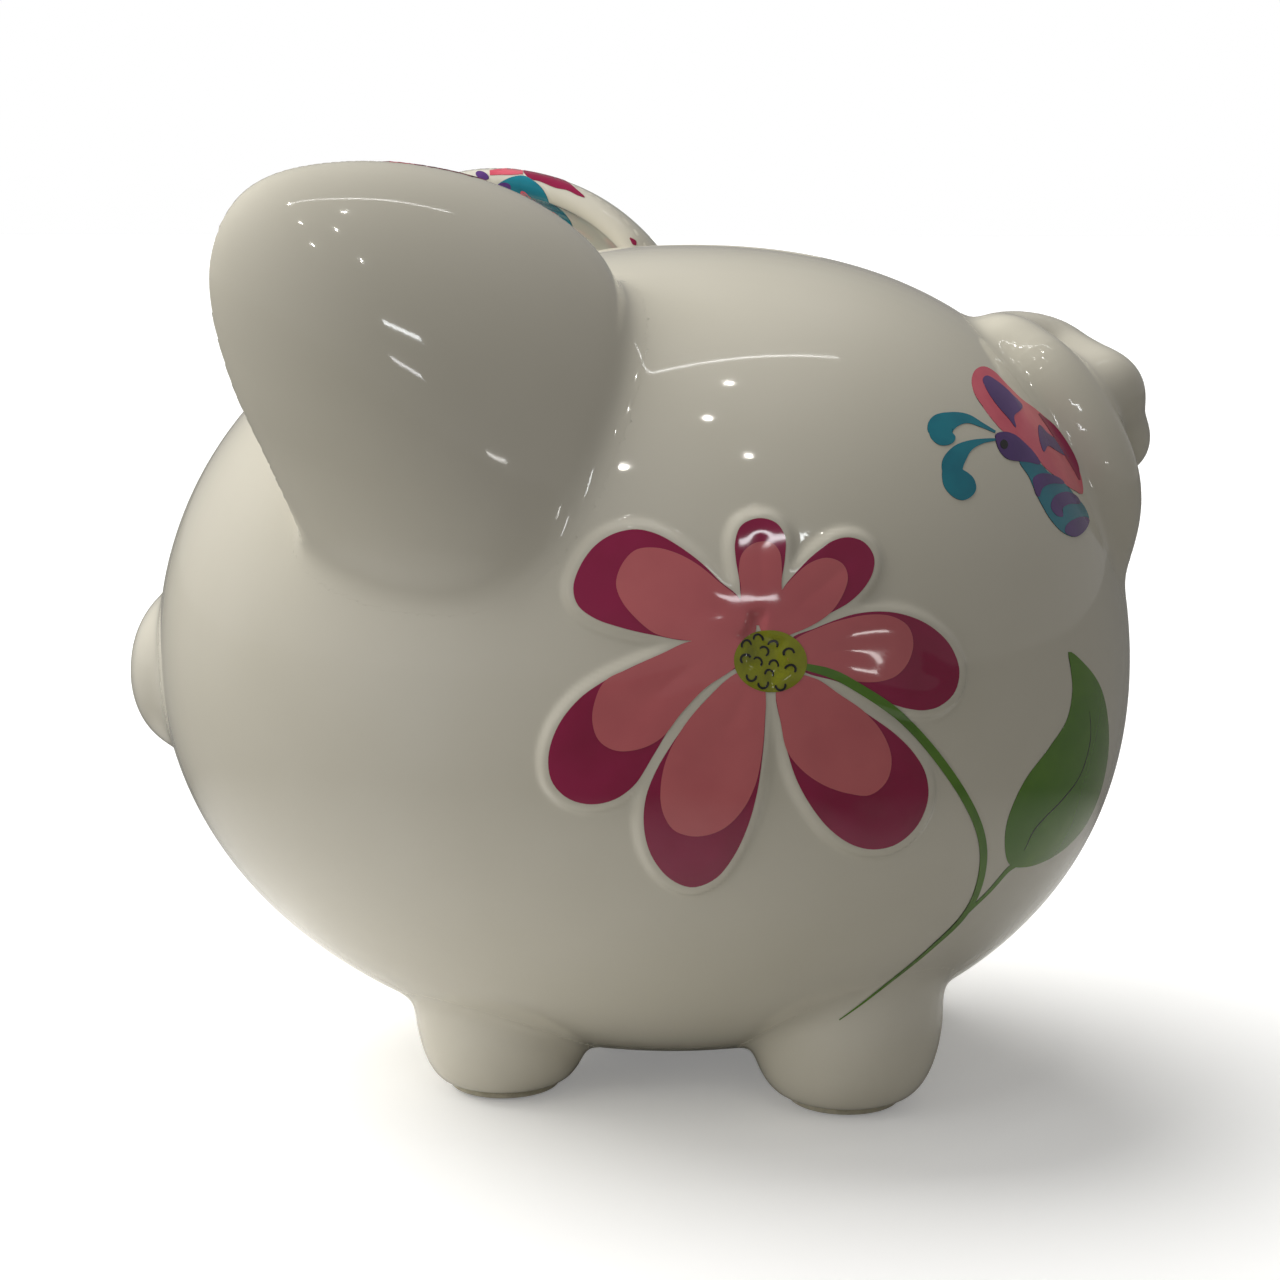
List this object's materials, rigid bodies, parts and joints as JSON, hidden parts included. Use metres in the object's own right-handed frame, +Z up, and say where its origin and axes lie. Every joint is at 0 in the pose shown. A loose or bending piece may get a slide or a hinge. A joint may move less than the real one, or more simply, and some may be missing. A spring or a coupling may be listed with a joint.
{
  "type": "piggy bank",
  "caption": "Large hollow glazed ceramic piggy bank with cupped ears, curled tail, coin slot on the back, belly hole and pull-out stopper.",
  "frame": {"origin": "on the ground, under the centre of the whole object's box", "axes": "+Z up, the snout points along -Y and the tail along +Y, the pig's left flank faces +X"},
  "size_m": [0.2032, 0.2383, 0.2075],
  "materials": {
    "glaze": "glossy off-white glaze with painted flowers and butterflies under it",
    "pad": "matte foam pad",
    "stopper": "satin soft vinyl"
  },
  "bodies": {
    "bank": {"body_shell": "glaze", "ear_left": "glaze", "ear_right": "glaze", "snout": "glaze", "tail": "glaze", "leg_front_left": "glaze", "leg_front_right": "glaze", "leg_rear_left": "glaze", "leg_rear_right": "glaze", "foot_pad_front_left": "pad", "foot_pad_front_right": "pad", "foot_pad_rear_left": "pad", "foot_pad_rear_right": "pad"},
    "plug": {"stopper": "stopper"}
  },
  "joints": [
    {"name": "stopper_pull", "type": "slide", "parent": "bank", "child": "plug", "axis": [0, 0, -1], "range_m": [0, 0.04]}
  ]
}
